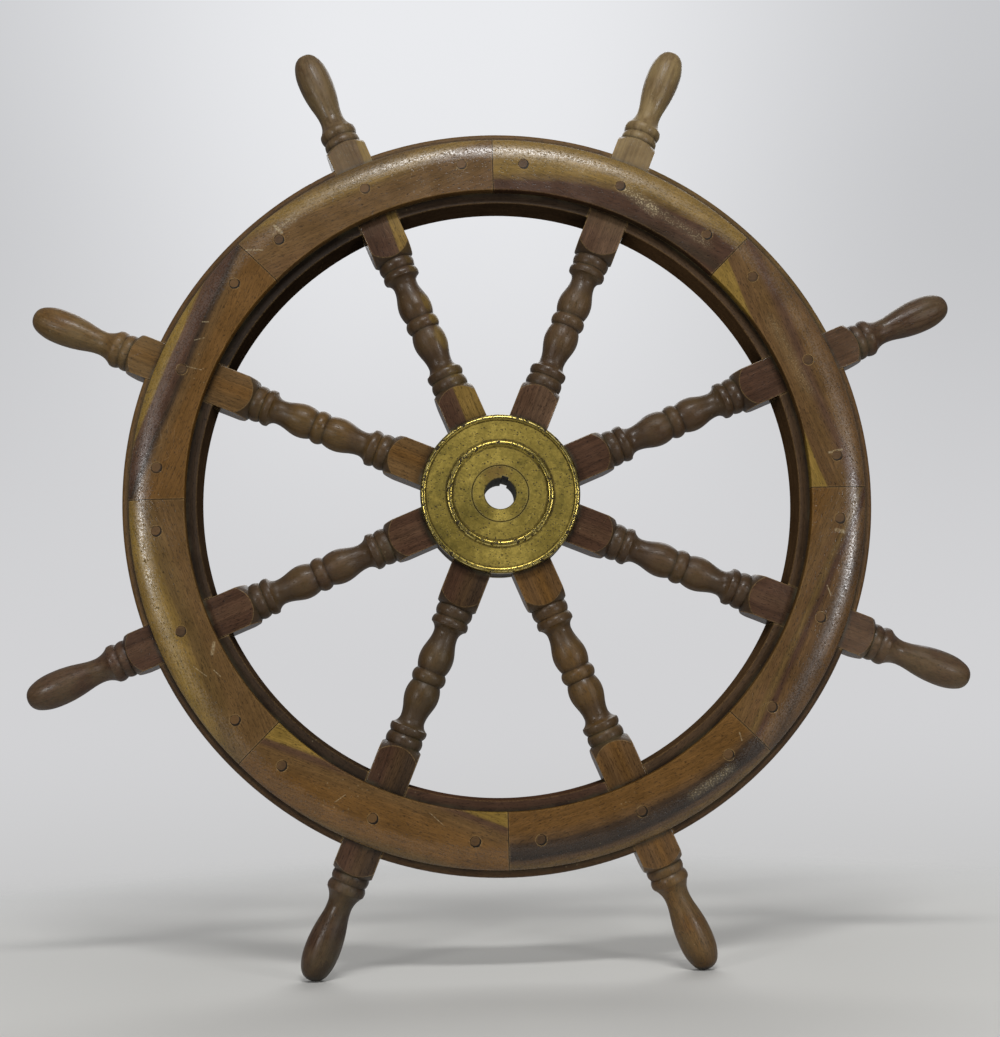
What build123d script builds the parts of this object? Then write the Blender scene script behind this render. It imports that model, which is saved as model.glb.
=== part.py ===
from build123d import *
import os
from math import cos, radians, sin, tan

# Eight-spoke ship's steering wheel: a rim of three wooden layers, turned spokes and a keyed brass hub.
# The axle runs along Y, the front faces -Y and +Z is up. The origin is the wheel's centre, on the bore's
# axis and midway between front and back. A piece is drawn about the +X direction, then turned into place.
# All sizes are in millimetres and degrees.

# ---- Driving dimensions ----
spoke_count = 8
overall_diameter = 914.4
stock_width = 36.5
arris_radius = 0.8

middle_ring_inner_radius = 271.2
middle_ring_outer_radius = 338.0
middle_ring_rounding = 4.0
face_ring_inner_radius = 280.7
face_ring_outer_radius = 331.0
face_ring_thickness = 10.0
face_ring_flat_radius = 311.0
face_ring_edge_thickness = 2.5
felloe_joint_gap = 0.3
spoke_joint_gap = 0.15

rim_screw_circle_radius = 306.4
rim_screw_spread_angle = 17.16
plug_radius = 4.76
plug_depth = 3.0
plug_recess = 0.2
rim_screw_head_radius = 4.2
rim_screw_shank_radius = 2.4
rim_screw_length = 19.0
rim_screw_clearance = 0.2
screw_slot_width = 1.0
screw_slot_depth = 1.0
plug_edge = 0.3

hub_radius = 71.8
hub_face_height = 26.0
hub_bead_height = 1.9
sleeve_radius = 25.5
sleeve_edge = 0.6
bore_radius = 14.0
bore_edge = 0.8
keyway_width = 6.35
keyway_depth = 2.0
keyway_angle = 18.0
hub_screw_circle_radius = 57.5
hub_screw_radius = 3.0
hub_screw_head_radius = 5.6
hub_screw_slot_width = 1.5
hub_screw_grip_in_front_plate = 4.5
chock_inset = 0.5

# ---- Derived dimensions ----
spoke_angle = 360 / spoke_count
first_spoke_angle = spoke_angle / 2
half_stock = stock_width / 2
tip_radius = overall_diameter / 2
stock_corner_radius = half_stock / cos(radians(45))
mitre_angle = spoke_angle / 2
mitre_length = half_stock / tan(radians(mitre_angle))
chock_point_radius = half_stock / sin(radians(mitre_angle))
rim_face_height = half_stock + face_ring_thickness
screw_seat_height = rim_face_height - plug_depth
hub_screw_head_height = hub_screw_head_radius - hub_screw_radius
hub_plate_thickness = hub_face_height - half_stock
front_face = Plane.XZ.offset(rim_face_height)
rear_face = Plane(origin=(0, rim_face_height, 0), x_dir=(1, 0, 0), z_dir=(0, 1, 0))

os.makedirs("parts", exist_ok=True)


def save(piece, name):
    """Label one finished piece and write it as its own STEP file."""
    piece.label = name
    export_step(piece, f"parts/{name}.step")


def save_around(blank, name, first_angle):
    """Write one copy of a piece for each spoke station, numbered anticlockwise as seen from the front."""
    for station in range(spoke_count):
        angle = first_angle + station * spoke_angle
        with BuildPart() as copy:
            with Locations(Rotation(0, -angle, 0)):
                add(blank)
        save(copy.part, f"{name}_{station + 1}")


# ---- Spoke: one turned piece from the hub, through the rim, to the tip of its handle ----
# Its outline gives the radius of the turning at each distance from the wheel's centre.
middle_bead_station = 175.5
inner_stretch = 1.02
outer_stretch = 0.98


def half_turning(side, stretch):
    """The turning between the middle bead and a square block, with its distances stretched a little."""

    def at(distance, radius):
        return (middle_bead_station + side * stretch * distance, radius)

    outwards = (side, 0)
    bead_foot = at(6.0, 13.1)
    vase_crest = at(17.3, 15.7)
    neck = at(40.0, 11.4)
    ring_edge = at(48.0, 16.5)
    ring_foot = at(55.6, 14.9)
    bead_end = at(65.6, 15.9)
    block_corner = at(77.5, stock_corner_radius)
    TangentArc(vase_crest, bead_foot, tangent=(-side, 0))
    Spline(vase_crest, neck, tangents=(outwards, outwards))
    TangentArc(neck, ring_edge, tangent=outwards)
    ThreePointArc(ring_edge, at(51.0, 17.0), ring_foot)
    ThreePointArc(ring_foot, at(60.7, 16.9), bead_end)
    ThreePointArc(bead_end, at(70.3, 21.2), block_corner)
    return bead_foot, block_corner


with BuildPart() as spoke:
    with BuildSketch(Plane.XZ) as stock_plan:
        with BuildLine():
            Polyline(
                (0, 0),
                (mitre_length, half_stock),
                (tip_radius, half_stock),
                (tip_radius, -half_stock),
                (mitre_length, -half_stock),
                close=True,
            )
        make_face()
    extrude(amount=half_stock, both=True)
    fillet(spoke.edges().filter_by(Axis.X), radius=arris_radius)
    with BuildSketch(Plane.XY) as turned_outline:
        with BuildLine():
            inner_foot, inner_corner = half_turning(-1, inner_stretch)
            outer_foot, outer_corner = half_turning(1, outer_stretch)
            ThreePointArc(inner_foot, (middle_bead_station, 15.65), outer_foot)
            Polyline((tip_radius, 0), (0, 0), (0, stock_corner_radius), inner_corner)
            rim_end = (350.5, stock_corner_radius)
            grip_bead_start = (360.0, 16.2)
            grip_bead_end = (368.3, 15.4)
            grip_ring_edge = (376.4, 16.7)
            grip_neck = (390.0, 11.1)
            grip_crest = (428.0, 15.75)
            Line(outer_corner, rim_end)
            ThreePointArc(rim_end, (356.4, 20.9), grip_bead_start)
            ThreePointArc(grip_bead_start, (364.0, 16.9), grip_bead_end)
            ThreePointArc(grip_bead_end, (373.2, 17.2), grip_ring_edge)
            TangentArc(grip_neck, grip_ring_edge, tangent=(-1, 0))
            Spline(grip_neck, (406.0, 13.4), grip_crest, tangents=((1, 0), (1, 0)))
            Spline(grip_crest, (446.5, 13.2), (tip_radius, 0), tangents=((1, 0), (0, -1)))
        make_face()
    revolve(axis=Axis.X, mode=Mode.INTERSECT)
    # The mitred end stops at the sleeve.
    with Locations(Rotation(90, 0, 0)):
        Cylinder(sleeve_radius, stock_width, mode=Mode.SUBTRACT)
    # A machine screw passes right through the hub block, and a wood screw enters the rim block from each side.
    with Locations(Plane.XZ.offset(half_stock)):
        with Locations((hub_screw_circle_radius, 0)):
            Hole(hub_screw_radius)
    for side_face in (front_face, rear_face):
        with Locations(side_face):
            with Locations((rim_screw_circle_radius, 0)):
                Hole(rim_screw_shank_radius, depth=plug_depth + rim_screw_length)
save_around(spoke.part, "spoke", first_spoke_angle)


# ---- Middle felloe: the rim segment between two spokes, as thick as they are ----
with BuildPart() as middle_felloe:
    with BuildSketch(Plane.XY.rotated((0, -mitre_angle, 0))) as middle_section:
        middle_ring_width = middle_ring_outer_radius - middle_ring_inner_radius
        with Locations((middle_ring_inner_radius + middle_ring_width / 2, 0)):
            Rectangle(middle_ring_width, stock_width)
        fillet(middle_section.vertices().group_by(Axis.X)[-1], radius=middle_ring_rounding)
        fillet(middle_section.vertices().group_by(Axis.X)[0], radius=arris_radius)
    revolve(axis=Axis.Y, revolution_arc=spoke_angle)
    with Locations(Rotation(0, mitre_angle, 0), Rotation(0, -mitre_angle, 0)):
        slot_width = stock_width + 2 * spoke_joint_gap
        Box(2 * tip_radius, stock_width, slot_width, mode=Mode.SUBTRACT)
    neighbour_angle = spoke_angle / 2 - rim_screw_spread_angle
    for side_face in (front_face, rear_face):
        with Locations(side_face):
            with PolarLocations(rim_screw_circle_radius, 2, -neighbour_angle, 2 * neighbour_angle, endpoint=True):
                Hole(rim_screw_shank_radius, depth=plug_depth + rim_screw_length)
save_around(middle_felloe.part, "middle_felloe", first_spoke_angle + mitre_angle)


# ---- Face felloe: a rim segment centred on a spoke, rounded over towards its outer edge ----
felloe_half_angle = spoke_angle / 2 - felloe_joint_gap / 2 / face_ring_outer_radius / radians(1)

with BuildPart() as front_felloe:
    with BuildSketch(Plane.XY.rotated((0, -felloe_half_angle, 0))) as face_section:
        edge_height = half_stock + face_ring_edge_thickness
        with BuildLine():
            Polyline(
                (face_ring_outer_radius, -edge_height),
                (face_ring_outer_radius, -half_stock),
                (face_ring_inner_radius, -half_stock),
                (face_ring_inner_radius, -rim_face_height),
                (face_ring_flat_radius, -rim_face_height),
            )
            EllipticalCenterArc(
                (face_ring_flat_radius, -edge_height),
                face_ring_outer_radius - face_ring_flat_radius,
                rim_face_height - edge_height,
                start_angle=-90,
                arc_size=90,
            )
        make_face()
        fillet(face_section.vertices().group_by(Axis.X)[0].sort_by(Axis.Y)[0], radius=arris_radius)
    revolve(axis=Axis.Y, revolution_arc=2 * felloe_half_angle)
    with Locations(front_face):
        with PolarLocations(
            rim_screw_circle_radius, 3, -rim_screw_spread_angle, 2 * rim_screw_spread_angle, endpoint=True
        ):
            CounterBoreHole(rim_screw_shank_radius + rim_screw_clearance, plug_radius, plug_depth)
    with Locations(Plane.XZ.offset(screw_seat_height)):
        with PolarLocations(
            rim_screw_circle_radius, 3, -rim_screw_spread_angle, 2 * rim_screw_spread_angle, endpoint=True
        ):
            CounterSinkHole(
                rim_screw_shank_radius + rim_screw_clearance,
                rim_screw_head_radius + rim_screw_clearance,
                depth=face_ring_thickness,
                counter_sink_angle=90,
            )
rear_felloe = mirror(front_felloe.part, about=Plane.XZ)
save_around(front_felloe.part, "front_felloe", first_spoke_angle)
save_around(rear_felloe, "rear_felloe", first_spoke_angle)


# ---- Rim screws and the plugs over them, three to each face felloe ----
with BuildPart() as rim_screw:
    with BuildSketch(Plane.XY) as screw_outline:
        tip_length = 2 * rim_screw_shank_radius
        with BuildLine():
            Polyline(
                (0, 0),
                (rim_screw_head_radius, 0),
                (rim_screw_shank_radius, rim_screw_head_radius - rim_screw_shank_radius),
                (rim_screw_shank_radius, rim_screw_length - tip_length),
                (0, rim_screw_length),
                close=True,
            )
        make_face()
    revolve(axis=Axis.Y)
    Box(2 * rim_screw_head_radius, 2 * screw_slot_depth, screw_slot_width, mode=Mode.SUBTRACT)

with BuildPart() as plug:
    with BuildSketch(Plane.XZ.offset(-plug_recess)) as plug_face:
        Circle(plug_radius)
    extrude(amount=-(plug_depth - plug_recess))
    chamfer(plug.edges().group_by(Axis.Y)[0], length=plug_edge)


def rim_circle(piece, height):
    """Copies of a small piece at every screw of one side of the rim, its outer end at the given height."""
    with BuildPart() as group:
        for station in range(spoke_count):
            for offset in (-rim_screw_spread_angle, 0, rim_screw_spread_angle):
                angle = first_spoke_angle + station * spoke_angle + offset
                with Locations(Rotation(0, -angle, 0)):
                    with Locations((rim_screw_circle_radius, -height, 0)):
                        add(piece)
    return group.part


front_rim_screws = rim_circle(rim_screw.part, screw_seat_height)
front_plugs = rim_circle(plug.part, rim_face_height)
save(front_rim_screws, "front_rim_screws")
save(front_plugs, "front_plugs")
save(mirror(front_rim_screws, about=Plane.XZ), "rear_rim_screws")
save(mirror(front_plugs, about=Plane.XZ), "rear_plugs")


# ---- Hub chock: fills the corner between two spokes, flush with the plates ----
with BuildPart() as hub_chock:
    with BuildSketch(Plane.XZ) as chock_plan:
        Circle(hub_radius - chock_inset)
        with BuildLine():
            reach = 2 * hub_radius
            spread = (reach - chock_point_radius) * tan(radians(mitre_angle))
            Polyline((chock_point_radius, 0), (reach, spread), (reach, -spread), close=True)
        make_face(mode=Mode.INTERSECT)
    extrude(amount=half_stock, both=True)
save_around(hub_chock.part, "hub_chock", first_spoke_angle + mitre_angle)


# ---- Hub plates: brass discs with a raised rim and a raised ring, front and rear ----
hub_bead_inner_radius = 42.2
hub_bead_outer_radius = 48.8
hub_rim_inner_radius = 66.2
hub_rim_edge_height = hub_face_height - 0.4

with BuildPart() as plate_blank:
    with BuildSketch(Plane.XY) as plate_section:
        bead_middle = (hub_bead_inner_radius + hub_bead_outer_radius) / 2
        rim_middle = (hub_rim_inner_radius + hub_radius) / 2
        with BuildLine():
            Polyline(
                (hub_radius, -hub_rim_edge_height),
                (hub_radius, -half_stock),
                (sleeve_radius, -half_stock),
                (sleeve_radius, -hub_face_height + sleeve_edge),
                (sleeve_radius + sleeve_edge, -hub_face_height),
                (hub_bead_inner_radius, -hub_face_height),
            )
            ThreePointArc(
                (hub_bead_inner_radius, -hub_face_height),
                (bead_middle, -hub_face_height - hub_bead_height),
                (hub_bead_outer_radius, -hub_face_height),
            )
            Line((hub_bead_outer_radius, -hub_face_height), (hub_rim_inner_radius, -hub_face_height))
            ThreePointArc(
                (hub_rim_inner_radius, -hub_face_height),
                (rim_middle, -hub_face_height - hub_bead_height),
                (hub_radius, -hub_rim_edge_height),
            )
        make_face()
    revolve(axis=Axis.Y)

with BuildPart() as hub_front_plate:
    add(plate_blank.part)
    with Locations(Plane(origin=(0, -half_stock, 0), x_dir=(1, 0, 0), z_dir=(0, 1, 0))):
        with PolarLocations(hub_screw_circle_radius, spoke_count, first_spoke_angle):
            Hole(hub_screw_radius, depth=hub_screw_grip_in_front_plate)
save(hub_front_plate.part, "hub_front_plate")

with BuildPart() as hub_rear_plate:
    mirror(plate_blank.part, about=Plane.XZ)
    with Locations(Plane(origin=(0, hub_face_height, 0), x_dir=(1, 0, 0), z_dir=(0, 1, 0))):
        with PolarLocations(hub_screw_circle_radius, spoke_count, first_spoke_angle):
            CounterSinkHole(
                hub_screw_radius, hub_screw_head_radius, depth=hub_plate_thickness, counter_sink_angle=90
            )
save(hub_rear_plate.part, "hub_rear_plate")


# ---- Hub sleeve: the bored and keyed brass tube that joins the plates ----
with BuildPart() as hub_sleeve:
    with BuildSketch(Plane.XZ) as sleeve_section:
        Circle(sleeve_radius)
        Circle(bore_radius, mode=Mode.SUBTRACT)
    extrude(amount=hub_face_height, both=True)
    sleeve_rims = hub_sleeve.edges().filter_by(GeomType.CIRCLE)
    chamfer(sleeve_rims.group_by(SortBy.RADIUS)[-1], length=sleeve_edge)
    chamfer(sleeve_rims.group_by(SortBy.RADIUS)[0], length=bore_edge)
    with Locations(Rotation(0, keyway_angle, 0)):
        with Locations((0, 0, bore_radius / 2 + keyway_depth / 2)):
            Box(keyway_width, 2 * hub_face_height, bore_radius + keyway_depth, mode=Mode.SUBTRACT)
save(hub_sleeve.part, "hub_sleeve")


# ---- Hub screws: countersunk, from the rear plate through the spokes into the front plate ----
hub_screw_length = hub_face_height + half_stock + hub_screw_grip_in_front_plate

with BuildPart() as hub_screw:
    with BuildSketch(Plane.XY) as hub_screw_outline:
        with BuildLine():
            Polyline(
                (0, 0),
                (hub_screw_head_radius, 0),
                (hub_screw_radius, -hub_screw_head_height),
                (hub_screw_radius, -hub_screw_length),
                (0, -hub_screw_length),
                close=True,
            )
        make_face()
    revolve(axis=Axis.Y)
    Box(2 * hub_screw_head_radius, 2 * screw_slot_depth, hub_screw_slot_width, mode=Mode.SUBTRACT)

with BuildPart() as hub_screws:
    for station in range(spoke_count):
        angle = first_spoke_angle + station * spoke_angle
        with Locations(Rotation(0, -angle, 0)):
            with Locations((hub_screw_circle_radius, hub_face_height, 0)):
                add(hub_screw.part)
save(hub_screws.part, "hub_screws")
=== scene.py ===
import math

import bpy
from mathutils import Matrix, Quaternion, Vector


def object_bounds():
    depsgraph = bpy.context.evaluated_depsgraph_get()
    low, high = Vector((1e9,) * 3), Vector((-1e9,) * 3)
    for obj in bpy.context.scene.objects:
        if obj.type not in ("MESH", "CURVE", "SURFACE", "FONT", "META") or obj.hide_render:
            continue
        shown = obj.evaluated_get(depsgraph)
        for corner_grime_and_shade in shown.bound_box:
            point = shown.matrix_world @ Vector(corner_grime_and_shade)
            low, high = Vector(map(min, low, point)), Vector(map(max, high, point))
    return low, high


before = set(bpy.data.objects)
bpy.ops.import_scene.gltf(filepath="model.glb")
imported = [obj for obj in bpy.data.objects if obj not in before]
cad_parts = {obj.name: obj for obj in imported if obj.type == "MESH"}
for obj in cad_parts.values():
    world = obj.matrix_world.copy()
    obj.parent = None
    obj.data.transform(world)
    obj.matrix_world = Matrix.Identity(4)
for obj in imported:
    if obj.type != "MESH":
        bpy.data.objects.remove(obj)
cad_low, cad_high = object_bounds()

MM = 0.001
spoke_count = 8
spoke_pitch = 360 / spoke_count
first_spoke_angle = spoke_pitch / 2

# The wheel's sizes that the finish follows, in metres.
plug_circle_radius = 306.4 * MM
plug_radius = 4.76 * MM
face_depth = 28.0 * MM
face_flat_radius = 311.0 * MM
face_ring_inner_radius = 280.7 * MM
middle_ring_inner_radius = 271.2 * MM
sleeve_radius = 25.5 * MM
hub_face = 26.0 * MM

# Degrees from a felloe's middle plug to its two others.
plug_angle = 17.16

# Half a spoke's width on its flats, and where along it its inner turned part lies, its handle starts and its
# varnish starts to be worn off, from the hub's axis.
half_stock = 18.25 * MM
inner_turning = (88 * MM, 262 * MM)
handle_start = 345 * MM
wear_start = 258 * MM

# Radii of the hub plates' raised edge and ring: where they meet the flat, dark there with dirt and painted
# shade, where they rise and fall, and the painted highlight lines along their tops.
bead_roots = (66.6 * MM, 49.2 * MM, 41.8 * MM)
edge_rise = (67.2 * MM, 68.2 * MM)
ring_rise = (42.3 * MM, 43.2 * MM)
ring_fall = (48.0 * MM, 48.7 * MM)
bead_highlight_radii = (45.5 * MM, 47.4 * MM, 69.2 * MM, 70.6 * MM)

# How far two planks with the next seeds lie apart in the noise, in metres.
seed_step = (0.37, 0.11, 0.23)


# ---------------------------------------------------------------- colours

def tone(red, green, blue):
    """A surface colour given as 0-255 screen values, as the linear colour that Blender takes."""
    def linear(value):
        share = value / 255
        return share / 12.92 if share <= 0.04045 else ((share + 0.055) / 1.055) ** 2.4
    return (linear(red), linear(green), linear(blue), 1.0)


straw = tone(127, 102, 47)
gold = tone(122, 97, 48)
honey = tone(102, 72, 35)
tan = tone(98, 73, 42)
olive = tone(97, 75, 42)
brown = tone(93, 68, 40)
russet = tone(84, 61, 44)
rose = tone(93, 71, 53)
walnut = tone(74, 55, 36)
plum = tone(72, 50, 36)
umber = tone(58, 44, 31)
soot = tone(38, 28, 19)

dust_colour = tone(84, 78, 54)
# Near-black for grime and dark joints, and for painted shade in corners, recesses and round the plugs.
grime_and_shade_colour = tone(30, 25, 20)
bare_wood_colour = tone(146, 118, 76)
# Pale for flecks and scratch marks, and for the painted glints of the varnish's highlight.
fleck_and_glint_colour = tone(176, 160, 126)
patina_colour = tone(78, 62, 34)
# Pale wear on the handles, with a painted sheen on the upper ones.
handle_wear_and_sheen_colour = tone(134, 114, 76)


# ---------------------------------------------------------------- node building

class Graph:
    """A node tree, with short calls that add its nodes and join them."""

    def __init__(self, tree):
        self.tree = tree

    def node(self, kind, inputs, **settings):
        made = self.tree.nodes.new(kind)
        for name, setting in settings.items():
            setattr(made, name, setting)
        for name, given in inputs.items():
            self.plug(made.inputs[name], given)
        return made

    def plug(self, socket, given):
        if isinstance(given, bpy.types.NodeSocket):
            self.tree.links.new(given, socket)
        elif given is not None:
            socket.default_value = given

    def math(self, operation, a, b=None, c=None, clamp=False):
        made = self.node("ShaderNodeMath", {0: a, 1: b, 2: c}, operation=operation, use_clamp=clamp)
        return made.outputs[0]

    def chain(self, operation, values):
        """One value from two or more, by the same operation on each in turn."""
        made, *others = values
        for other in others:
            made = self.math(operation, made, other)
        return made

    def product(self, *values):
        return self.chain("MULTIPLY", values)

    def largest(self, *values):
        return self.chain("MAXIMUM", values)

    def absolute(self, value):
        return self.math("ABSOLUTE", value)

    def vector_math(self, operation, a, b=None, output=0):
        return self.node("ShaderNodeVectorMath", {0: a, 1: b}, operation=operation).outputs[output]

    def stretch(self, vector, scale, turn=(0.0, 0.0, 0.0), shift=(0.0, 0.0, 0.0)):
        angles = [math.radians(angle) for angle in turn]
        made = self.node(
            "ShaderNodeMapping", {"Vector": vector, "Scale": scale, "Rotation": angles, "Location": shift}
        )
        return made.outputs[0]

    def noise(self, vector, scale=1.0, detail=2.0, roughness=0.5, distortion=0.0):
        made = self.node("ShaderNodeTexNoise", {
            "Vector": vector, "Scale": scale, "Detail": detail, "Roughness": roughness,
            "Distortion": distortion,
        })
        return made.outputs[0]

    def lines(self, distance, scale, detail=2.0, roughness=0.5):
        """Noise along one distance: the same wherever that distance is the same."""
        made = self.node("ShaderNodeTexNoise", {
            "W": distance, "Scale": scale, "Detail": detail, "Roughness": roughness,
        }, noise_dimensions="1D")
        return made.outputs[0]

    def cells(self, vector, scale):
        """The outputs of scattered cells: Distance from a cell's middle, and the cell's Color."""
        return self.node("ShaderNodeTexVoronoi", {"Vector": vector, "Scale": scale}).outputs

    def span(self, given, low, high, to_low=0.0, to_high=1.0, smooth=False):
        """given, stretched so that low becomes to_low and high becomes to_high, and held between them."""
        made = self.node("ShaderNodeMapRange", {
            "Value": given, "From Min": low, "From Max": high, "To Min": to_low, "To Max": to_high,
        }, interpolation_type="SMOOTHSTEP" if smooth else "LINEAR")
        return made.outputs[0]

    def near(self, distance, place, edge, core):
        """1 where the distance is within core of the place, falling to 0 where it is edge away."""
        return self.span(self.absolute(self.math("SUBTRACT", distance, place)), edge, core)

    def bands(self, given, stops):
        """A smooth colour ramp with the stops (place, colour)."""
        made = self.node("ShaderNodeValToRGB", {"Fac": given})
        ramp = made.color_ramp
        ramp.interpolation = "EASE"
        while len(ramp.elements) < len(stops):
            ramp.elements.new(1.0)
        for element, (place, colour) in zip(ramp.elements, stops):
            element.position = place
            element.color = colour
        return made.outputs[0]

    def mix(self, share, a, b, blend="MIX"):
        made = self.node("ShaderNodeMix", {0: share, 6: a, 7: b}, data_type="RGBA", blend_type=blend)
        return made.outputs[2]

    def darken(self, colour, value):
        """The colour times one value."""
        grey = self.node("ShaderNodeCombineColor", {0: value, 1: value, 2: value}).outputs[0]
        return self.mix(1.0, colour, grey, "MULTIPLY")

    def split(self, vector):
        return self.node("ShaderNodeSeparateXYZ", {0: vector}).outputs

    def join(self, x, y, z):
        return self.node("ShaderNodeCombineXYZ", {0: x, 1: y, 2: z}).outputs[0]

    def length(self, *parts):
        """The length of a vector with these two or three parts."""
        x, y, z = (*parts, 0.0)[:3]
        return self.vector_math("LENGTH", self.join(x, y, z), output=1)

    def group(self, tree, **inputs):
        """The outputs of a node group, given its inputs by name."""
        return self.node("ShaderNodeGroup", inputs, node_tree=tree).outputs

    def dress(self, shader, inputs):
        """Gives a shader's sockets, by name, their values."""
        for name, given in inputs.items():
            self.plug(shader.inputs[name], given)


def start_group(name, inputs=()):
    """A new node group's graph and its input sockets, from the (name, socket type) of each."""
    tree = bpy.data.node_groups.new(name, "ShaderNodeTree")
    for label, kind in inputs:
        tree.interface.new_socket(name=label, in_out="INPUT", socket_type=kind)
    return Graph(tree), tree.nodes.new("NodeGroupInput").outputs


def finish_group(graph, results):
    """The node group, with an output for each named result."""
    for label in results:
        graph.tree.interface.new_socket(name=label, in_out="OUTPUT", socket_type="NodeSocketFloat")
    end = graph.tree.nodes.new("NodeGroupOutput")
    for label, made in results.items():
        graph.plug(end.inputs[label], made)
    return graph.tree


def start_material(name):
    """A new material's graph and its surface shader."""
    material = bpy.data.materials.new(name)
    material.use_nodes = True
    nodes = material.node_tree.nodes
    shader = next(node for node in nodes if node.type == "BSDF_PRINCIPLED")
    return material, Graph(material.node_tree), shader


def object_position(graph):
    return graph.node("ShaderNodeTexCoord", {}).outputs["Object"]


# ---------------------------------------------------------------- wood

def timber_group():
    """Figure of a plank whose grain runs along X: streaks, fibres, pores, pits, mottling, dents, marks and
    the noise for painted glints.
    """
    graph, given = start_group("timber", [("Vector", "NodeSocketVector")])
    place = given["Vector"]
    wobble = graph.noise(graph.stretch(place, (7.0, 22.0, 22.0)), detail=2.0)
    streak = graph.noise(graph.stretch(place, (11.0, 330.0, 330.0)), detail=4.0, roughness=0.62)
    fibre = graph.noise(graph.stretch(place, (55.0, 1500.0, 1500.0)), detail=3.0, roughness=0.6)
    pore = graph.noise(graph.stretch(place, (190.0, 2100.0, 2100.0)), detail=1.0)
    pit = graph.noise(graph.stretch(place, (330.0, 1000.0, 1000.0)), detail=1.0)
    mottle = graph.noise(place, scale=34.0, detail=4.0, roughness=0.6)
    skin = graph.noise(place, scale=650.0, detail=1.5)
    dent = graph.noise(place, scale=130.0, detail=2.0)
    # Noise for the pale specks that paint glints of the varnish's highlight.
    painted_glint_noise = graph.noise(place, scale=760.0, detail=1.0)

    marks = []
    for turn in (24.0, -38.0, 77.0):
        turned = graph.stretch(place, (1.0, 1.0, 1.0), turn=(0.0, turn, 0.0), shift=(turn, 0.0, 0.0))
        stretched = graph.stretch(turned, (60.0, 120.0, 1500.0))
        marks.append(graph.span(graph.noise(stretched, detail=0.0), 0.79, 0.83))
    scratched = graph.span(graph.noise(place, scale=17.0), 0.50, 0.62)
    spot = graph.cells(place, 190.0)["Distance"]
    spotted = graph.span(graph.noise(place, scale=21.0), 0.58, 0.66)

    return finish_group(graph, {
        "Wobble": wobble,
        "Streak": streak,
        "Fibre": fibre,
        "Pore": graph.span(pore, 0.60, 0.68),
        "Pit": graph.span(pit, 0.63, 0.70),
        "Mottle": mottle,
        "Scratch": graph.product(graph.largest(*marks), scratched),
        "Fleck": graph.product(graph.span(spot, 0.16, 0.08), spotted),
        "Skin": skin,
        "Dent": dent,
        "PaintedGlint": graph.span(painted_glint_noise, 0.56, 0.63),
    })


def wear_group():
    """Where dirt settles and shade is painted, in corners, grooves and recesses near other parts, and where
    edges have worn.
    """
    graph, _ = start_group("wear")

    def nearness(distance, inside=False):
        made = graph.node("ShaderNodeAmbientOcclusion", {"Distance": distance}, samples=6, inside=inside)
        return made.outputs["AO"]

    return finish_group(graph, {
        # Corner marks tight corners, for dust and for grime with painted shade; Shade marks surfaces within
        # 28 mm of other parts, for painted shade only.
        "Corner": graph.span(nearness(5 * MM), 0.92, 0.55),
        "Edge": graph.span(nearness(2.2 * MM, inside=True), 0.80, 0.50),
        "Shade": graph.span(nearness(28 * MM), 0.95, 0.3),
    })


timber = timber_group()
wear = wear_group()


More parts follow.
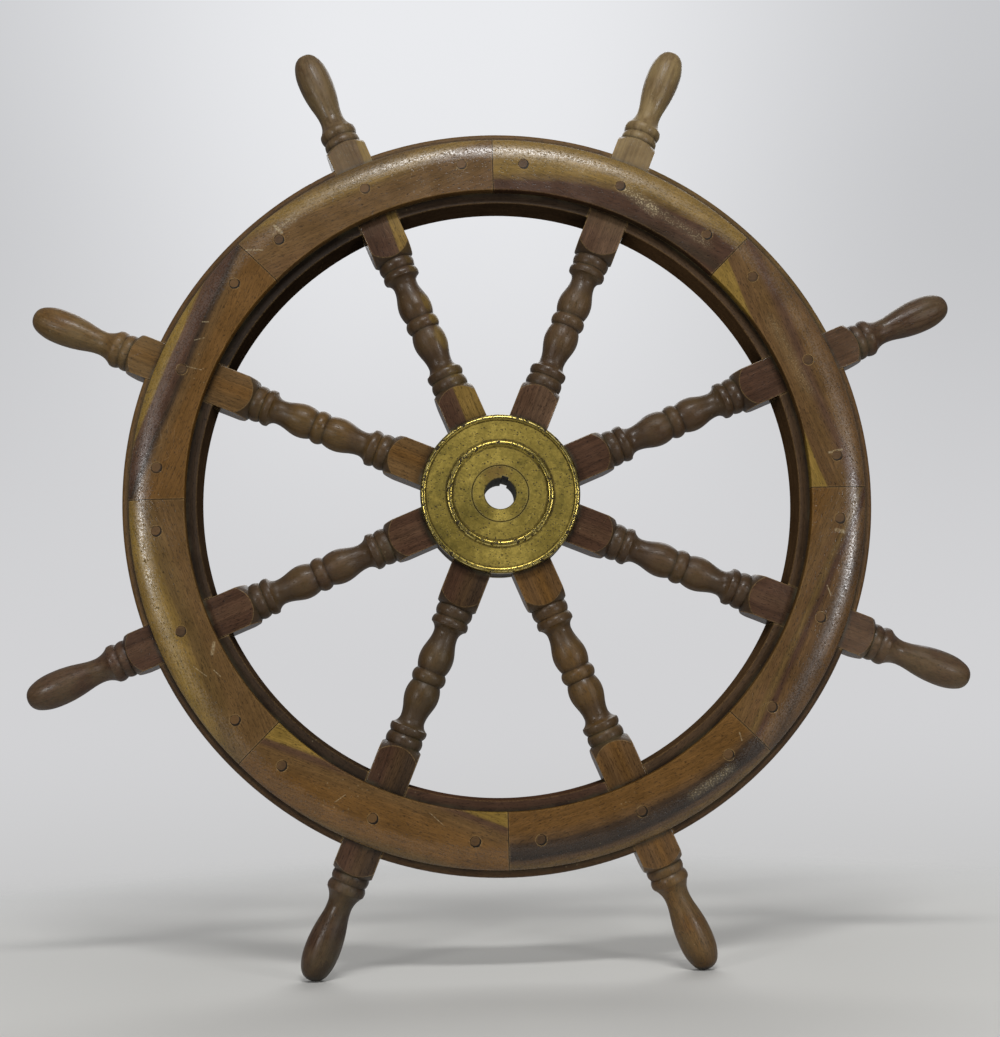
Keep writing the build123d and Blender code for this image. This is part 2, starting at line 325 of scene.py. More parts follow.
def wood(name, bands, grain_angle, across, seed, kind="felloe", slant=0.0, arch=0.0, tilt=0.25, wobble=5.0,
         streaks=0.14, roughness=0.21, specular=0.5, dust=0.5, handle_wear_and_sheen=0.0, scars=(), painted_glints=(),
         wall_radius=face_ring_inner_radius):
    """Varnished wood with its grain at grain_angle in the wheel's plane, from +X towards +Z.

    bands are the (place in mm across the grain, colour) of the plank's broad colours, and across is the
    lowest and highest of those places. The bands drift along the plank by slant and with depth by tilt,
    which are slopes, they follow the rim by arch, from 0, straight, to 1, and they wander by wobble, in
    mm. seed sets one plank's figure apart from another's, and streaks is how strong its streaks are.

    kind is felloe, spoke or hidden: a felloe has the marks of its plugs and end joints, and a spoke has
    aged turned parts. dust is the share of dust in the corners, and handle_wear_and_sheen the share of pale
    wear and painted sheen on a spoke outside the rim. scars are as in felloe_scars, and painted_glints,
    bands of pale specks that paint the varnish's highlight, as in felloe_painted_glints. The varnish is
    gone from a wall that stands at wall_radius, and None is for a piece without such a wall.
    """
    material, graph, shader = start_material(name)
    plank = graph.stretch(object_position(graph), (1.0, 1.0, 1.0), turn=(0.0, grain_angle, 0.0))
    figure = graph.group(timber, Vector=graph.vector_math("ADD", plank, [seed * step for step in seed_step]))
    worn = graph.group(wear)
    along, depth, out = graph.split(plank)

    ring = growth_rings(graph, along, depth, out, figure, slant, arch, tilt, wobble)
    low, high = across
    place = graph.span(ring, low * MM, high * MM)
    colour = graph.bands(place, [((at - low) / (high - low), shade) for at, shade in bands])
    colour = graph.darken(colour, figure_value(graph, ring, figure, streaks))
    if kind == "spoke":
        colour = turned_wear(graph, colour, along, depth, out, figure, handle_wear_and_sheen)
    patchy = graph.span(figure["Mottle"], 0.45, 0.6)
    dusty = graph.product(worn["Corner"], patchy, dust)
    colour = weathered(graph, colour, worn, figure, dusty)
    for scar in scars:
        colour = graph.mix(scratch_mark(graph, along, out, scar, figure["Skin"]), colour, fleck_and_glint_colour)
    # Scratch marks, then bands of pale specks that paint glints of the varnish's highlight.
    for painted_glint in painted_glints:
        colour = graph.mix(painted_glint_share(graph, along, out, painted_glint, figure["PaintedGlint"]), colour, fleck_and_glint_colour)

    gloss = graph.span(figure["Mottle"], 0.3, 0.75, roughness - 0.05, roughness + 0.04)
    shine = specular
    bump_strength = 0.3
    if wall_radius is not None:
        off_wall = graph.span(graph.length(along, out), wall_radius + 0.4 * MM, wall_radius + 1.2 * MM)
        shine = graph.product(off_wall, specular)
    if kind == "felloe":
        colour, gloss, bump_strength = felloe_finish(graph, colour, gloss, along, out, figure)
    if kind == "spoke":
        gloss, shine, bump_strength = spoke_finish(graph, gloss, specular, along, depth, out, figure)
    gloss = graph.math("MULTIPLY_ADD", dusty, 0.5, gloss)
    gloss = graph.math("MULTIPLY_ADD", figure["Scratch"], 0.08, gloss, clamp=True)
    bump = graph.node("ShaderNodeBump", {
        "Height": wood_relief(graph, figure), "Strength": bump_strength, "Distance": 0.16 * MM,
    })
    graph.dress(shader, {
        "Base Color": colour, "Roughness": gloss, "Normal": bump.outputs[0], "Specular IOR Level": shine,
    })
    return material


def growth_rings(graph, along, depth, out, figure, slant, arch, tilt, wobble):
    """Distance across the grain that a plank's colour bands and growth lines follow."""
    fray = 5 * MM
    ring = graph.span(arch, 0.0, 1.0, out, graph.length(along, out))
    ring = graph.math("MULTIPLY_ADD", graph.math("ADD", depth, face_depth), tilt, ring)
    ring = graph.math("MULTIPLY_ADD", along, slant, ring)
    swayed = graph.product(graph.math("SUBTRACT", figure["Wobble"], 0.5), 2 * wobble * MM)
    frayed = graph.product(graph.math("SUBTRACT", figure["Streak"], 0.5), fray)
    return graph.math("ADD", ring, graph.math("ADD", swayed, frayed))


def figure_value(graph, ring, figure, streaks):
    """What a plank's colour is multiplied by: growth lines, streaks, fibres, mottling, pores and pits."""
    line = graph.lines(ring, 420.0, detail=3.0, roughness=0.65)
    return graph.product(
        graph.span(line, 0.34, 0.62, 1.0 - 0.9 * streaks, 1.0 + 0.45 * streaks),
        graph.span(figure["Streak"], 0.3, 0.72, 1.0 - streaks, 1.0 + 0.7 * streaks),
        graph.span(figure["Fibre"], 0.25, 0.75, 0.80, 1.20),
        graph.span(figure["Mottle"], 0.3, 0.7, 0.82, 1.16),
        graph.span(figure["Pore"], 0.0, 1.0, 1.0, 0.5),
        graph.span(figure["Pit"], 0.0, 1.0, 1.0, 0.45),
    )


def weathered(graph, colour, worn, figure, dusty):
    """A wood's colour with grime and painted shade in its corners and recesses, dust, rubbed edges, scratches
    and flecks.
    """
    rubbed = graph.product(worn["Edge"], graph.span(figure["Skin"], 0.35, 0.6, 0.1, 0.6))
    for share, layer in (
        # Painted shade near other parts, then grime with painted shade in tight corners.
        (graph.product(worn["Shade"], 0.5), grime_and_shade_colour),
        (graph.product(worn["Corner"], 0.85), grime_and_shade_colour),
        (dusty, dust_colour),
        (rubbed, bare_wood_colour),
        (graph.product(figure["Scratch"], 0.14), bare_wood_colour),
        (graph.product(figure["Fleck"], 0.22), fleck_and_glint_colour),
    ):
        colour = graph.mix(share, colour, layer)
    return colour


def wood_relief(graph, figure):
    """Heights for the bump of a plank: its fibres, skin, pits, scratches and dents."""
    relief = graph.product(figure["Fibre"], 0.25)
    for mark, height in (("Skin", 0.40), ("Pit", -0.90), ("Scratch", -0.15), ("Dent", 1.0)):
        relief = graph.math("MULTIPLY_ADD", figure[mark], height, relief)
    return relief


def felloe_finish(graph, colour, gloss, along, out, figure):
    """A felloe's colour with its plugs and joints marked, its gloss, and its bump strength.

    Its rounded outer half is worn: rougher in patches and more uneven.
    """
    colour = plug_marks(graph, colour, from_plug(graph, along, out), figure["Dent"])
    colour = graph.mix(graph.product(felloe_joint(graph, along, out), 0.85), colour, grime_and_shade_colour)
    rounded = graph.span(graph.length(along, out), face_flat_radius - 3 * MM, face_flat_radius + 5 * MM)
    patches = graph.span(figure["Skin"], 0.42, 0.58, 0.03, 0.21)
    patches = graph.math("MULTIPLY_ADD", figure["Pit"], 0.45, patches)
    gloss = graph.math("MULTIPLY_ADD", rounded, patches, gloss)
    return colour, gloss, graph.span(rounded, 0.0, 1.0, 0.17, 1.0)


def spoke_finish(graph, gloss, specular, along, depth, out, figure):
    """A spoke's gloss, shine and bump strength: streaky where turned, with little shine on its sides."""
    turned = graph.largest(*turned_masks(graph, along, spoke_side(graph, depth, out)))
    gloss = graph.math("MULTIPLY_ADD", turned, graph.span(figure["Streak"], 0.42, 0.58, 0.07, 0.29), gloss)
    sideways = graph.absolute(out)
    off_side = graph.span(sideways, half_stock - 0.02 * MM, half_stock - 0.2 * MM, 0.12, 1.0)
    shine = graph.product(off_side, graph.span(turned, 0.0, 1.0, specular, 0.72 * specular))
    return gloss, shine, graph.span(turned, 0.0, 1.0, 0.20, 0.9)


def from_plug(graph, along, out):
    """Distance from the nearest of a felloe's three plug centres, in its plank's own directions."""
    side = plug_circle_radius * math.sin(math.radians(plug_angle))
    rise = plug_circle_radius * math.cos(math.radians(plug_angle))
    from_middle = graph.length(along, graph.math("SUBTRACT", out, plug_circle_radius))
    beside = graph.math("SUBTRACT", graph.absolute(along), side)
    from_side = graph.length(beside, graph.math("SUBTRACT", out, rise))
    return graph.math("MINIMUM", from_middle, from_side)


def felloe_joint(graph, along, out):
    """1 at a felloe's two end joints, and 0 a little way in."""
    half_pitch = math.radians(spoke_pitch / 2)
    inward = graph.product(graph.absolute(along), -math.cos(half_pitch))
    inward = graph.math("MULTIPLY_ADD", out, math.sin(half_pitch), inward)
    return graph.span(inward, 0.65 * MM, 0.2 * MM)


def plug_marks(graph, colour, away, cloud):
    """A felloe's colour with a thin ring round each plug: pale where the cloud is light, or black, a painted
    shadow in the gap round the plug.
    """
    ring = graph.near(away, plug_radius, 0.6 * MM, 0.3 * MM)
    pale = graph.product(ring, graph.span(cloud, 0.49, 0.53, 0.0, 0.5))
    # Black painted shadow in the gap round the plug.
    gap_shadow = graph.product(ring, graph.span(cloud, 0.49, 0.44, 0.1, 0.8))
    return graph.mix(gap_shadow, graph.mix(pale, colour, bare_wood_colour), grime_and_shade_colour)


def scratch_mark(graph, along, out, scar, skin):
    """1 on one mark, given as its two ends (along and out) and its width, in mm, broken by the skin noise."""
    (start_along, start_out), (end_along, end_out), width = scar
    run, rise = end_along - start_along, end_out - start_out
    size = math.hypot(run, rise)
    run, rise, half_size = run / size, rise / size, size / 2 * MM
    from_along = graph.math("SUBTRACT", along, start_along * MM)
    from_out = graph.math("SUBTRACT", out, start_out * MM)
    forward = graph.math("MULTIPLY_ADD", from_along, run, graph.product(from_out, rise))
    sideways = graph.math("MULTIPLY_ADD", from_along, -rise, graph.product(from_out, run))
    from_middle = graph.absolute(graph.math("SUBTRACT", forward, half_size))
    past_end = graph.math("SUBTRACT", from_middle, half_size)
    distance = graph.length(graph.largest(past_end, 0.0), sideways)
    mark = graph.span(distance, 0.9 * width * MM, 0.3 * width * MM)
    return graph.product(mark, graph.span(skin, 0.34, 0.58, 0.08, 0.5))


def painted_glint_share(graph, along, out, painted_glint, painted_glint_noise):
    """The share of painted glints, pale specks that paint the varnish's highlight, near one line, given as in
    felloe_painted_glints.
    """
    (start_along, start_out), (end_along, end_out), half_width, strength = painted_glint
    slope = (end_out - start_out) / (end_along - start_along)
    line_out = (start_out - slope * start_along) * MM
    middle_along = (start_along + end_along) / 2 * MM
    half_length = abs(end_along - start_along) / 2 * MM
    level = graph.math("MULTIPLY_ADD", along, -slope, out)
    away = graph.absolute(graph.math("SUBTRACT", level, line_out))
    beside = graph.span(away, half_width * MM, 0.0, smooth=True)
    past = graph.absolute(graph.math("SUBTRACT", along, middle_along))
    within = graph.span(past, half_length, 0.6 * half_length, smooth=True)
    return graph.product(beside, within, graph.span(painted_glint_noise, 0.0, 1.0, 0.18 * strength, strength))


def spoke_side(graph, depth, out):
    """The larger distance from a spoke's two middle planes: half_stock on its flats, less where turned."""
    return graph.largest(graph.absolute(depth), graph.absolute(out))


def turned_masks(graph, along, side):
    """1 on a spoke's turned part inside the rim, and 1 on its handle, along being from the hub's axis."""
    blend = 3 * MM
    start, end = inner_turning
    turned = graph.span(side, half_stock - 0.06 * MM, half_stock - 0.3 * MM)
    past_start, before_end = graph.span(along, start, start + blend), graph.span(along, end, end - blend)
    inner = graph.product(past_start, before_end, turned)
    handle = graph.product(graph.span(along, handle_start, handle_start + blend), turned)
    return inner, handle


def turned_wear(graph, colour, along, depth, out, figure, handle_wear_and_sheen):
    """A spoke's colour with its turned parts aged and its arrises rubbed.

    Inside the rim it is dark in the hollows and on the beads, and outside it is paler by
    handle_wear_and_sheen:
    pale wear, with a painted sheen.
    """
    side = spoke_side(graph, depth, out)
    turning = graph.length(depth, out)
    inner, handle = turned_masks(graph, along, side)
    old = graph.product(inner, graph.span(figure["Mottle"], 0.35, 0.65, 0.25, 0.65))
    hollow = graph.span(turning, 14.6 * MM, 12.4 * MM)
    bead = graph.span(turning, 15.9 * MM, 16.6 * MM)
    dusty = graph.product(handle, graph.span(figure["Mottle"], 0.40, 0.65, 0.0, 0.3))
    outside = graph.span(along, wear_start, handle_start)
    streaky = graph.math("MULTIPLY_ADD", figure["Streak"], 0.5, graph.product(figure["Mottle"], 0.5))
    # Pale wear, with a painted sheen, in streaks outside the rim.
    wear_and_sheen = graph.span(streaky, 0.42, 0.58, 0.45 * handle_wear_and_sheen, 0.9 * handle_wear_and_sheen)
    arris = graph.product(
        graph.span(side, half_stock - 0.9 * MM, half_stock - 0.4 * MM),
        graph.span(side, half_stock - 0.03 * MM, half_stock - 0.12 * MM),
    )
    for share, layer in (
        (old, patina_colour),
        (graph.product(graph.largest(hollow, bead), inner, 0.55), umber),
        (dusty, dust_colour),
        (graph.product(outside, wear_and_sheen), handle_wear_and_sheen_colour),
        (graph.product(arris, graph.span(figure["Skin"], 0.35, 0.55, 0.1, 0.6)), bare_wood_colour),
    ):
        colour = graph.mix(share, colour, layer)
    return colour


def plug_wood():
    """Dark end-grain plugs, each a slightly different brown, dotted with pores, with a crescent of painted
    shadow.
    """
    material, graph, shader = start_material("plug_wood")
    place = object_position(graph)
    worn = graph.group(wear)
    shade = graph.noise(place, scale=13.0, detail=1.0)
    colour = graph.bands(shade, [(0.30, umber), (0.45, walnut), (0.60, brown)])
    dots = graph.span(graph.cells(place, 1300.0)["Distance"], 0.30, 0.16)
    grain = graph.noise(graph.stretch(place, (260.0, 260.0, 900.0)), detail=3.0)
    around = graph.span(from_any_plug(graph, place), plug_radius - 1.3 * MM, plug_radius - 0.7 * MM)
    # A crescent of painted shadow at the lower right of every plug's edge.
    askew = graph.vector_math("ADD", place, (0.7 * MM, 0.0, -0.8 * MM))
    painted_shadow_crescent = graph.span(from_any_plug(graph, askew), plug_radius - 0.9 * MM, plug_radius - 0.3 * MM)
    deep = graph.span(graph.noise(place, scale=40.0, detail=1.0), 0.42, 0.52, 0.5, 1.0)
    for share, layer in (
        (graph.product(dots, 0.6), grime_and_shade_colour),
        (graph.span(grain, 0.45, 0.75, 0.0, 0.5), tan),
        (graph.product(around, 0.55), tan),
        (graph.product(painted_shadow_crescent, deep), grime_and_shade_colour),
        # Grime and painted shade in the plug's corners.
        (graph.product(worn["Corner"], 0.5), grime_and_shade_colour),
    ):
        colour = graph.mix(share, colour, layer)
    bump = graph.node("ShaderNodeBump", {"Height": grain, "Strength": 0.6, "Distance": 0.2 * MM})
    graph.dress(shader, {
        "Base Color": colour, "Roughness": graph.span(grain, 0.3, 0.7, 0.28, 0.42), "Normal": bump.outputs[0],
        "Specular IOR Level": 0.2,
    })
    return material


def from_any_plug(graph, place):
    """Distance from the nearest plug centre of the whole wheel: its spokes' sectors are folded onto one."""
    x, _, z = graph.split(place)
    radius = graph.length(x, z)
    turn = graph.math("MULTIPLY_ADD", graph.math("ARCTAN2", z, x), spoke_count / math.tau, -0.5)
    from_spoke = graph.math("SUBTRACT", graph.math("FRACT", graph.math("ADD", turn, 0.5)), 0.5)
    angle = graph.product(graph.absolute(from_spoke), math.tau / spoke_count)
    from_side_plug = graph.absolute(graph.math("SUBTRACT", angle, math.radians(plug_angle)))
    nearer = graph.math("MINIMUM", angle, from_side_plug)
    outward = graph.math("SUBTRACT", radius, plug_circle_radius)
    return graph.length(graph.product(nearer, plug_circle_radius), outward)


# ---------------------------------------------------------------- brass

bright_brass = tone(206, 182, 92)
dull_brass = tone(162, 142, 70)
olive_brass = tone(124, 110, 54)
tarnish = tone(120, 92, 58)
# Pale for rubbed edges and for the painted highlight lines along the beads' tops.
rubbed_and_highlight_brass = tone(232, 214, 140)
# Near-black for pits, chips and dirt, and for painted shade in corners, at the beads' feet and in the bore.
pit_and_shade_colour = tone(46, 38, 22)
# Grey painted shade on the bore's wall.
bore_shade_colour = tone(70, 70, 64)

# Dark marks of the hub plates, as the front one has them: each one's two ends, as x and z, and its width, in
# mm.
brass_smudges = [
    ((-43, 13), (-36, 12), 3.0), ((-36, 12), (-27, 11), 1.0), ((-27, 16), (-27, 6), 1.2),
    ((-18, 15), (-14, 12), 1.6), ((54, -25), (59, -27), 2.6), ((46, -23), (53, -25), 0.9),
]


def brass(name, roughness=0.40):
    """Turned brass: dulled and pitted, bright on worn edges and on painted highlight lines along its beads,
    black with dirt and painted shade in its corners, and painted dark as shade in the bore.
    """
    material, graph, shader = start_material(name)
    place = object_position(graph)
    worn = graph.group(wear)
    x, y, z = graph.split(place)
    radius = graph.length(x, z)
    cloud = graph.noise(place, scale=60.0, detail=5.0, roughness=0.7)
    stained = graph.noise(place, scale=300.0, detail=3.0, roughness=0.7)
    turned = graph.lines(radius, 1700.0, detail=2.0)

    on_beads = graph.largest(graph.span(radius, *edge_rise), graph.product(
        graph.span(radius, *ring_rise), graph.span(radius, *ring_fall, 1.0, 0.0)))
    # Dark lines at the beads' feet: dirt and painted shade in the crease.
    root_dirt_and_shade = graph.largest(*[graph.near(radius, root, 0.9 * MM, 0.3 * MM) for root in bead_roots])
    root_dirt_and_shade = graph.product(root_dirt_and_shade, graph.span(stained, 0.35, 0.6, 0.35, 0.85))
    joint = graph.product(graph.near(radius, sleeve_radius, 0.9 * MM, 0.3 * MM), 0.8)
    corner_grime_and_shade = graph.largest(graph.product(worn["Corner"], 0.9), root_dirt_and_shade, joint)
    # Pale lines along the beads' tops: painted highlights, added to the rubbed edges.
    crest_highlights = graph.largest(*[graph.near(radius, crest, 0.5 * MM, 0.2 * MM) for crest in bead_highlight_radii])
    crest_highlights = graph.product(crest_highlights, graph.span(stained, 0.40, 0.55, 0.0, 0.9))
    edge = graph.product(worn["Edge"], graph.span(stained, 0.3, 0.55, 0.3, 1.0))
    edge = graph.largest(edge, crest_highlights)
    pit = brass_pits(graph, place, stained)
    chips = graph.span(graph.noise(place, scale=240.0, detail=2.0, distortion=0.8), 0.56, 0.60)
    chips = graph.product(on_beads, chips)
    inside = graph.span(graph.absolute(y), hub_face - 0.4 * MM, hub_face - 1.2 * MM)
    # The bore's wall and keyway, painted dark and grey as shade.
    bore_shade = graph.product(graph.span(radius, sleeve_radius - 3 * MM, sleeve_radius - 4 * MM), inside)
    dark = graph.largest(graph.product(pit, 0.9), chips, bore_shade)

    colour = brass_plain(graph, x, z, place, cloud, turned)
    for share, layer in (
        (red_patch(graph, x, z, radius, cloud), tarnish),
        (graph.span(stained, 0.52, 0.72, 0.0, 0.6), olive_brass),
        (graph.product(on_beads, 0.45), olive_brass),
        (edge, rubbed_and_highlight_brass),
        (corner_grime_and_shade, pit_and_shade_colour),
        (dark, pit_and_shade_colour),
        (graph.product(bore_shade, 0.5), bore_shade_colour),
    ):
        colour = graph.mix(share, colour, layer)

    metal = graph.math("SUBTRACT", 1.0, graph.largest(dark, graph.product(corner_grime_and_shade, 0.8)))
    gloss = graph.span(cloud, 0.3, 0.7, roughness + 0.08, roughness - 0.05)
    gloss = graph.math("MULTIPLY_ADD", graph.largest(edge, on_beads), -0.15, gloss)
    gloss = graph.math("MULTIPLY_ADD", dark, 0.3, gloss, clamp=True)
    relief = graph.product(turned, 0.12)
    for mark, height in ((stained, 0.5), (pit, -0.6), (chips, -1.0)):
        relief = graph.math("MULTIPLY_ADD", mark, height, relief)
    bump = graph.node("ShaderNodeBump", {"Height": relief, "Strength": 0.4, "Distance": 0.2 * MM})
    tangent = graph.node("ShaderNodeTangent", {}, direction_type="RADIAL", axis="Y")
    graph.dress(shader, {
        "Base Color": colour, "Metallic": metal, "Roughness": gloss, "Normal": bump.outputs[0],
        "Tangent": tangent.outputs[0], "Anisotropic": 0.45, "Specular IOR Level": 0.15,
    })
    return material


def brass_plain(graph, x, z, place, cloud, turned):
    """The brass's colour: clouded, with a painted sheen that lightens two opposite sectors where turned
    metal's highlights fall, and gritty.
    """
    painted_sheen_fan = graph.math("COSINE", graph.math("MULTIPLY_ADD", graph.math("ARCTAN2", z, x), 2.0, 2.6))
    shade = graph.math("MULTIPLY_ADD", painted_sheen_fan, 0.09, cloud)
    colour = graph.bands(shade, [(0.34, olive_brass), (0.50, dull_brass), (0.68, bright_brass)])
    grit = graph.noise(place, scale=520.0, detail=2.0, roughness=0.6)
    lines, grains = graph.span(turned, 0.3, 0.7, 0.90, 1.08), graph.span(grit, 0.3, 0.7, 0.78, 1.18)
    return graph.darken(colour, graph.product(lines, grains))


def red_patch(graph, x, z, radius, cloud):
    """The share of tarnish in one reddish patch near the sleeve, above the bore."""
    patch_x, patch_z = -4 * MM, 20 * MM
    away = graph.length(graph.math("SUBTRACT", x, patch_x), graph.math("SUBTRACT", z, patch_z))
    return graph.product(
        graph.span(away, 18 * MM, 5 * MM), graph.span(radius, 30 * MM, 24 * MM),
        graph.span(cloud, 0.35, 0.6, 0.5, 1.0), 0.85,
    )


def brass_pits(graph, place, stained):
    """1 on the brass's dark specks, nicks, blots and smudges."""
    x, _, z = graph.split(place)
    dots = graph.cells(place, 370.0)
    size = graph.product(graph.split(dots["Color"])[0], 0.36)
    specks = graph.span(graph.math("ADD", dots["Distance"], size), 0.38, 0.29)
    nicked = graph.noise(graph.stretch(place, (300.0, 300.0, 900.0), turn=(0.0, 35.0, 0.0)), detail=1.0)
    blots = graph.noise(place, scale=150.0, detail=4.0, roughness=0.65)
    smudges = [scratch_mark(graph, x, z, smudge, stained) for smudge in brass_smudges]
    return graph.largest(specks, graph.span(nicked, 0.66, 0.70), graph.span(blots, 0.66, 0.70), *smudges)


# ---------------------------------------------------------------- the planks

def spoke_angle(number):
    """Angle of a spoke or a face felloe, numbered from 1, from +X towards +Z."""
    return first_spoke_angle + spoke_pitch * (number - 1)


def joint_angle(number):
    """Angle of a middle felloe or a hub chock, numbered from 1."""
    return spoke_pitch * number


# Broad colours of the front felloes, from each one's inner corners to the middle of its outer edge, in mm
# from the hub's axis.
front_bands = [
    [(274, straw), (276, brown), (292, tan), (302, russet), (310, tan), (326, brown)],
    [
        (266, straw), (270, plum), (276, umber), (290, plum),
        (299, plum), (303, olive), (310, gold), (328, gold),
    ],
    [(262, brown), (272, brown), (284, tan), (300, tan), (316, gold), (328, olive)],
    [(262, honey), (290, honey), (299, tan), (305, umber), (309, plum), (320, russet), (323, straw)],
    [(262, tan), (284, tan), (300, olive), (310, gold), (318, straw), (328, gold)],
    [(271, straw), (275, russet), (283, tan), (300, honey), (318, honey), (328, olive)],
    [(262, honey), (298, honey), (305, brown), (310, umber), (321, soot), (325, walnut), (329, olive)],
    [
        (262, honey), (279, tan), (286, brown), (292, olive),
        (298, plum), (303, brown), (316, walnut), (326, brown),
    ],
]
# How far those colours drift along some of the felloes, as a slope, and how far they follow the rim.
front_slants = {1: 0.03, 2: -0.10, 5: 0.04, 6: -0.027, 8: 0.08}
front_arches = {2: 1.0, 7: 1.0}
felloe_span = (256.0, 336.0)

# Broad colours across each spoke, in mm from its middle, from its clockwise side to its other side.
spoke_bands = [
    [(-18, plum), (-4, plum), (8, plum), (18, plum)],
    [(-18, rose), (-6, rose), (4, rose), (16, russet)],
    [(-18, gold), (12, gold), (14, russet), (22, plum)],
    [(-18, honey), (-6, tan), (6, honey), (16, tan)],
    [(-18, plum), (-4, plum), (8, russet), (18, plum)],
    [(-18, umber), (-2, plum), (10, walnut), (18, umber)],
    [(-18, honey), (0, brown), (10, honey), (18, brown)],
    [(-18, russet), (-4, plum), (8, russet), (18, plum)],
]
spoke_slants = {3: 0.046}
spoke_span = (-22.0, 30.0)

# The tones of each middle felloe: its inner wall, its inner ledge and its outer edge. The ledge tones are
# dark with dirt and with painted shade from the face ring, darkest at the top left.
middle_tones = [
    (olive, walnut, olive), (tan, umber, tan), (walnut, soot, brown), (walnut, umber, tan),
    (plum, umber, walnut), (walnut, plum, walnut), (plum, walnut, walnut), (brown, walnut, brown),
]
middle_span = (248.0, 340.0)
chock_bands = [(0, umber), (50, walnut), (75, umber)]
chock_span = (0.0, 80.0)

# The share of pale wear and painted sheen on each spoke outside the rim, most on the upper spokes.
handle_wear_and_sheen_shares = [0.1, 1.0, 0.45, 0.15, 0.0, 0.0, 0.0, 0.1]

# The deepest scratches of the front felloes: each one's two ends, along the plank (clockwise) and out from
# the hub's axis, and its width, in mm.
felloe_scars = {
    1: [((85, 287), (87, 299), 1.6)],
    3: [((-86, 298), (-89, 307), 2.2), ((-108, 290), (-122, 296), 1.2), ((84, 290), (92, 299), 0.6)],
    4: [((3, 310), (6, 290), 0.6), ((47, 306), (49, 301), 0.8), ((29, 306), (34, 299), 0.7)],
    5: [((-21, 284), (-29, 289), 2.2), ((-33, 308), (-45, 301), 0.6), ((-43, 293), (-50, 290), 0.7)],
    6: [((-60, 290), (-44, 284), 0.5), ((30, 296), (36, 305), 0.5)],
    7: [((-107, 279), (-106, 286), 0.8)],
    8: [((-79, 293), (-80, 299), 2.6), ((-29, 302), (-22, 308), 0.8)],
}
# Bands of painted glints on the front felloes, pale specks that paint the varnish's highlight: each one's two
# ends and half its width, in the same measures, and its strength.
felloe_painted_glints = {
    1: [((-60, 290), (40, 296), 9.0, 0.22)],
    2: [
        ((-8, 309), (46, 294), 9.0, 0.75), ((20, 301), (104, 283), 8.0, 0.35),
        ((-110, 297), (-20, 310), 8.0, 0.3),
    ],
    3: [((-100, 300), (-60, 309), 7.0, 0.4)],
    7: [((-95, 303), (-38, 313), 6.0, 0.5)],
}


def middle_bands(wall_tone, shaded_ledge_tone, edge_tone):
    """Broad colours of a middle felloe, which change where its inner wall and its outer edge begin."""
    stops = [(256, wall_tone), (270, wall_tone), (273, shaded_ledge_tone), (312, shaded_ledge_tone), (324, edge_tone)]
    return stops + [(334, edge_tone)]


def paint(node_name, material):
    """Gives a CAD node its material."""
    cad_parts[node_name].data.materials[0] = material


for index in range(spoke_count):
    number = index + 1
    angle = spoke_angle(number)
    middle_angle = joint_angle(number)
    paint(f"spoke_{number}", wood(
        f"spoke_{number}_wood", spoke_bands[index], angle, spoke_span, seed=number, kind="spoke",
        slant=spoke_slants.get(number, 0.0), tilt=0.8, wobble=3.0, streaks=0.24, roughness=0.24,
        specular=0.36, handle_wear_and_sheen=handle_wear_and_sheen_shares[index], wall_radius=None))
    paint(f"front_felloe_{number}", wood(
        f"front_felloe_{number}_wood", front_bands[index], angle - 90, felloe_span, seed=number + 10,
        slant=front_slants.get(number, 0.0), arch=front_arches.get(number, 0.0),
        scars=felloe_scars.get(number, ()), painted_glints=felloe_painted_glints.get(number, ())))
    paint(f"rear_felloe_{number}", wood(
        f"rear_felloe_{number}_wood", front_bands[(index + 3) % spoke_count], angle - 90, felloe_span,
        seed=number + 20, roughness=0.35, specular=0.16))
    paint(f"middle_felloe_{number}", wood(
        f"middle_felloe_{number}_wood", middle_bands(*middle_tones[index]), middle_angle - 90, middle_span,
        seed=number + 30, kind="hidden", arch=1.0, wobble=1.5, roughness=0.50, specular=0.12, dust=0.3,
        wall_radius=middle_ring_inner_radius))
    paint(f"hub_chock_{number}", wood(
        f"hub_chock_{number}_wood", chock_bands, middle_angle - 90, chock_span, seed=number + 40,
        kind="hidden", roughness=0.6, specular=0.18, wall_radius=None))

plugs = plug_wood()
hub_brass = brass("hub_brass")
screw_brass = brass("screw_brass", roughness=0.5)
for name in ("front_plugs", "rear_plugs"):
    paint(name, plugs)
for name in ("hub_front_plate", "hub_rear_plate", "hub_sleeve"):
    paint(name, hub_brass)
for name in ("hub_screws", "front_rim_screws", "rear_rim_screws"):
    paint(name, screw_brass)


# ---------------------------------------------------------------- studio

def add_floor():
    """A pale level floor under the lowest handles, painted lighter away from the wheel where the lamps light
    it less, which fades out into the pale surroundings.
    """
    half_side = 2.6
    full_radius = 0.45
    faded_radius = 1.2
    near_tone, far_tone = tone(199, 198, 194), tone(236, 236, 234)
    near_radius = 0.3
    corners = [(x * half_side, y * half_side, cad_low.z) for x, y in ((-1, -1), (1, -1), (1, 1), (-1, 1))]
    mesh = bpy.data.meshes.new("floor")
    mesh.from_pydata(corners, [], [(0, 1, 2, 3)])
    floor = bpy.data.objects.new("floor", mesh)
    bpy.context.scene.collection.objects.link(floor)

    material, graph, shader = start_material("pale_floor")
    x, y, _ = graph.split(object_position(graph))
    radius = graph.length(x, y)
    graph.dress(shader, {
        "Base Color": graph.mix(graph.span(radius, near_radius, faded_radius), near_tone, far_tone),
        "Roughness": 0.8,
        "Alpha": graph.span(radius, full_radius, faded_radius, 1.0, 0.0, smooth=True),
    })
    mesh.materials.append(material)


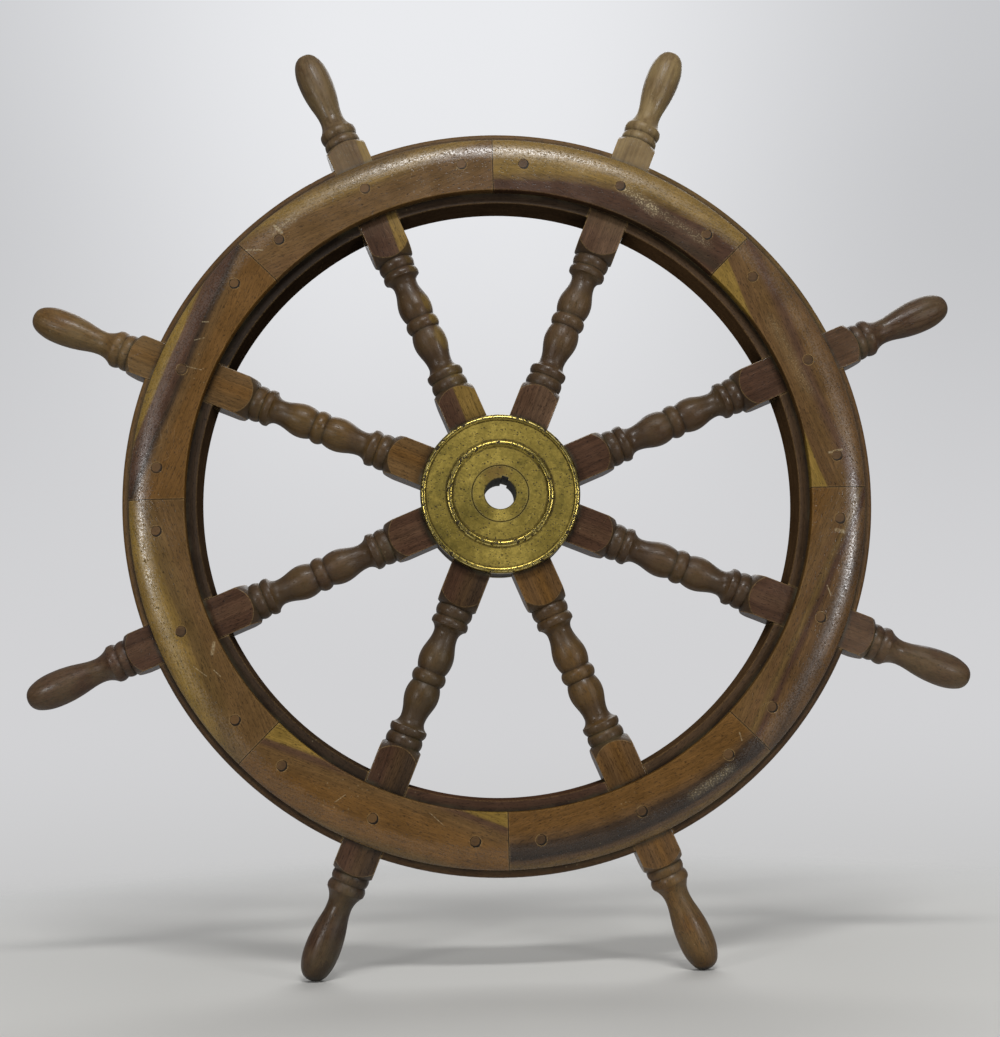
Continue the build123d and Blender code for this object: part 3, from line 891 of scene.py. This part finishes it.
def add_light(name, azimuth, elevation, distance, size, power):
    """A soft box facing the wheel's middle, with its width and height as size.

    Azimuth 0 is in front of the wheel, and 90 to its right.
    """
    data = bpy.data.lights.new(name, "AREA")
    data.shape = "RECTANGLE"
    data.size, data.size_y = size
    data.energy = power
    light = bpy.data.objects.new(name, data)
    a, e = math.radians(azimuth), math.radians(elevation)
    away = Vector((math.sin(a) * math.cos(e), -math.cos(a) * math.cos(e), math.sin(e)))
    light.location = away * distance
    light.rotation_mode = "QUATERNION"
    light.rotation_quaternion = away.to_track_quat("Z", "Y")
    bpy.context.scene.collection.objects.link(light)


def add_lights():
    side_box = (0.30, 0.45)
    add_light("left_softbox", -38, 4, 2.3, side_box, 14.0)
    add_light("right_softbox", 40, 1, 2.3, side_box, 15.0)
    add_light("top_softbox", 2, 44, 2.3, (0.9, 0.28), 32.0)
    add_light("rear_softbox", 170, 38, 2.8, (2.6, 1.8), 34.0)


def add_surroundings():
    """A pale backdrop for the camera, darker at its sides, and dimmer walls that light the wheel."""
    world = bpy.data.worlds.new("studio")
    bpy.context.scene.world = world
    world.use_nodes = True
    graph = Graph(world.node_tree)
    direction = graph.node("ShaderNodeTexCoord", {}).outputs["Generated"]
    x, y, z = graph.split(direction)
    seen = graph.bands(graph.span(z, -0.25, 0.45), [
        (0.0, tone(184, 184, 181)), (0.35, tone(210, 210, 212)), (1.0, tone(234, 235, 238))])
    falloff = graph.span(graph.absolute(x), 0.05, 0.36, 0.0, 0.30, smooth=True)
    falloff = graph.product(falloff, graph.span(z, 0.0, 0.35, smooth=True))
    seen = graph.darken(seen, graph.math("SUBTRACT", 1.0, falloff))
    glow = graph.bands(graph.span(z, -1.0, 1.0), [
        (0.0, tone(76, 76, 74)), (0.5, tone(62, 62, 64)), (1.0, tone(128, 129, 132))])
    glow = graph.mix(graph.span(y, 0.0, 0.7, smooth=True), glow, tone(140, 140, 141))
    camera_ray = graph.node("ShaderNodeLightPath", {}).outputs["Is Camera Ray"]
    colour = graph.mix(camera_ray, glow, seen)
    background = next(node for node in world.node_tree.nodes if node.type == "BACKGROUND")
    graph.plug(background.inputs["Color"], colour)


def add_camera():
    """Stands in front of the wheel, a little to its left and below its middle, and looks up at it."""
    distance = 1.3355
    azimuth, elevation, roll = math.radians(-2.09), math.radians(-6.98), math.radians(-1.35)
    aim = Vector((0.0001, 0.0, -0.0195))
    level = math.cos(elevation)
    back = Vector((math.sin(azimuth) * level, -math.cos(azimuth) * level, math.sin(elevation)))
    data = bpy.data.cameras.new("camera")
    data.lens = 50.9
    data.sensor_width = 36.0
    camera = bpy.data.objects.new("camera", data)
    camera.location = aim + back * distance
    camera.rotation_mode = "QUATERNION"
    camera.rotation_quaternion = back.to_track_quat("Z", "Y") @ Quaternion((0, 0, 1), roll)
    bpy.context.scene.collection.objects.link(camera)
    bpy.context.scene.camera = camera


add_floor()
add_lights()
add_surroundings()
add_camera()
bpy.context.scene.view_settings.view_transform = "Standard"
